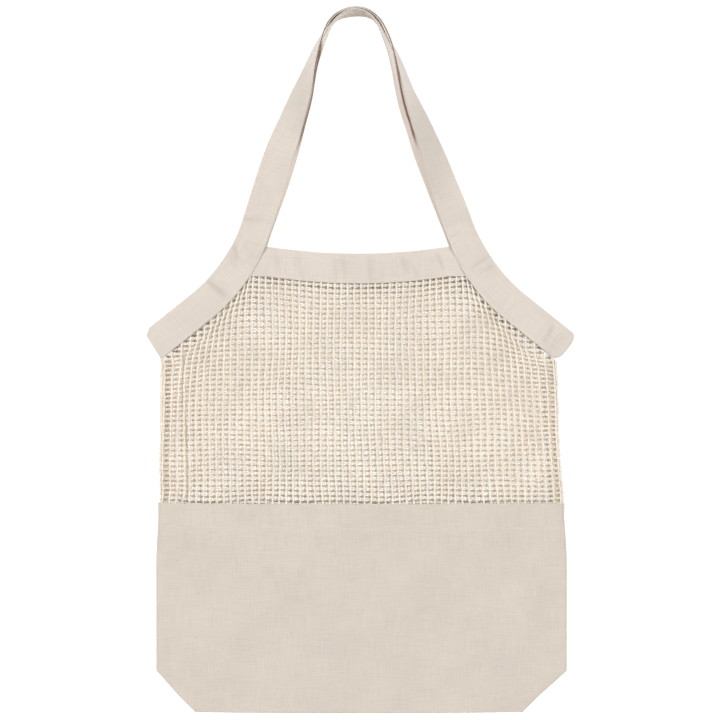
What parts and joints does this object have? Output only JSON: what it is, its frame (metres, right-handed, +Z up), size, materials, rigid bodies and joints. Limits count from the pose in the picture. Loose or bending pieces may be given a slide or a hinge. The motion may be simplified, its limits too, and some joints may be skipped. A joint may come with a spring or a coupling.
{
  "type": "mesh produce bag",
  "caption": "Cotton tote with a net upper, a canvas lower with a boxed base folded up inside, a hemmed mouth and long strap handles that fold down.",
  "frame": {"origin": "hang point: the underside of the inner handle at the middle of its arch, where a hook or peg carries the bag", "axes": "+Z up, +X across the bag towards its right side as seen from the front, and the front faces -Y"},
  "size_m": [0.4216, 0.0482, 0.6882],
  "materials": {
    "canvas": "plain woven unbleached cotton canvas, matte",
    "strap_cloth": "plain woven unbleached cotton, folded and pressed, matte",
    "net": "open cotton net of soft spun yarn, matte",
    "seam": "overlocked seam allowance, matte",
    "thread": "spun sewing thread, matte"
  },
  "bodies": {
    "bag": {"front_canvas": "canvas", "rear_canvas": "canvas", "front_mesh": "net", "rear_mesh": "net", "front_top_band": "strap_cloth", "rear_top_band": "strap_cloth", "front_left_strap_end": "strap_cloth", "front_right_strap_end": "strap_cloth", "rear_left_strap_end": "strap_cloth", "rear_right_strap_end": "strap_cloth", "left_side_seam": "seam", "right_side_seam": "seam", "bottom_seam": "seam", "front_band_stitching": "thread", "rear_band_stitching": "thread", "front_strap_end_stitching": "thread", "rear_strap_end_stitching": "thread"},
    "front_handle": {"front_handle": "strap_cloth", "front_handle_stitching": "thread"},
    "rear_handle": {"rear_handle": "strap_cloth", "rear_handle_stitching": "thread"}
  },
  "joints": [
    {"name": "front_handle_fold", "type": "hinge", "parent": "bag", "child": "front_handle", "pos_m": [0, -0.0104, -0.225], "axis": [1, 0, 0], "range_deg": [0, 170]},
    {"name": "rear_handle_fold", "type": "hinge", "parent": "bag", "child": "rear_handle", "pos_m": [0, 0.0104, -0.225], "axis": [-1, 0, 0], "range_deg": [0, 170]}
  ]
}
